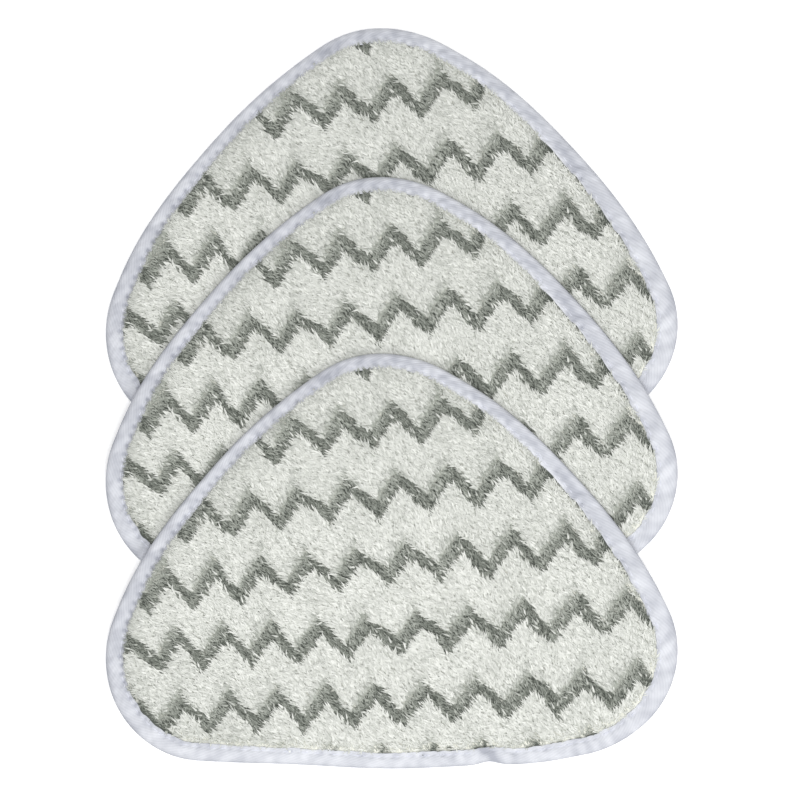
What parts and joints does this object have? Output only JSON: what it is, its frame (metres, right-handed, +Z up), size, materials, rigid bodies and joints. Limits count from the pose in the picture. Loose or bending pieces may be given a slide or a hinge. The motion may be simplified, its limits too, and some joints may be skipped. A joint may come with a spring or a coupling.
{
  "type": "steam mop pad set",
  "caption": "Triangular microfibre steam mop pads with rounded noses, grey zigzag rows in cream pile and a folded tape edge, lapped one over another like roof tiles.",
  "frame": {"origin": "on the floor, under the middle of the whole set's box", "axes": "+X across the pads, +Y towards their rounded noses, +Z up from the floor"},
  "size_m": [0.303, 0.3878, 0.0282],
  "materials": {
    "loop_knit": "brushed loop knit",
    "inner_cloth": "plain knitted ground cloth",
    "wadding": "needled polyester wadding",
    "cream_microfibre": "soft cut microfibre pile",
    "grey_microfibre": "soft cut microfibre pile",
    "polyester_thread": "spun sewing thread",
    "binding_tape": "fine twill tape"
  },
  "bodies": {
    "back_pad": {"back_pad_loop_face": "loop_knit", "back_pad_backing_cloth": "inner_cloth", "back_pad_core": "wadding", "back_pad_face_cloth": "inner_cloth", "back_pad_cream_pile": "cream_microfibre", "back_pad_grey_pile": "grey_microfibre", "back_pad_seam": "polyester_thread", "back_pad_binding": "binding_tape"},
    "middle_pad": {"middle_pad_loop_face": "loop_knit", "middle_pad_backing_cloth": "inner_cloth", "middle_pad_core": "wadding", "middle_pad_face_cloth": "inner_cloth", "middle_pad_cream_pile": "cream_microfibre", "middle_pad_grey_pile": "grey_microfibre", "middle_pad_seam": "polyester_thread", "middle_pad_binding": "binding_tape"},
    "front_pad": {"front_pad_loop_face": "loop_knit", "front_pad_backing_cloth": "inner_cloth", "front_pad_core": "wadding", "front_pad_face_cloth": "inner_cloth", "front_pad_cream_pile": "cream_microfibre", "front_pad_grey_pile": "grey_microfibre", "front_pad_seam": "polyester_thread", "front_pad_binding": "binding_tape"}
  },
  "joints": [
    {"name": "middle_pad_lift", "type": "slide", "parent": "back_pad", "child": "middle_pad", "axis": [0, 0, 1], "range_m": [0, 0.15]},
    {"name": "front_pad_lift", "type": "slide", "parent": "middle_pad", "child": "front_pad", "axis": [0, 0, 1], "range_m": [0, 0.15]}
  ]
}
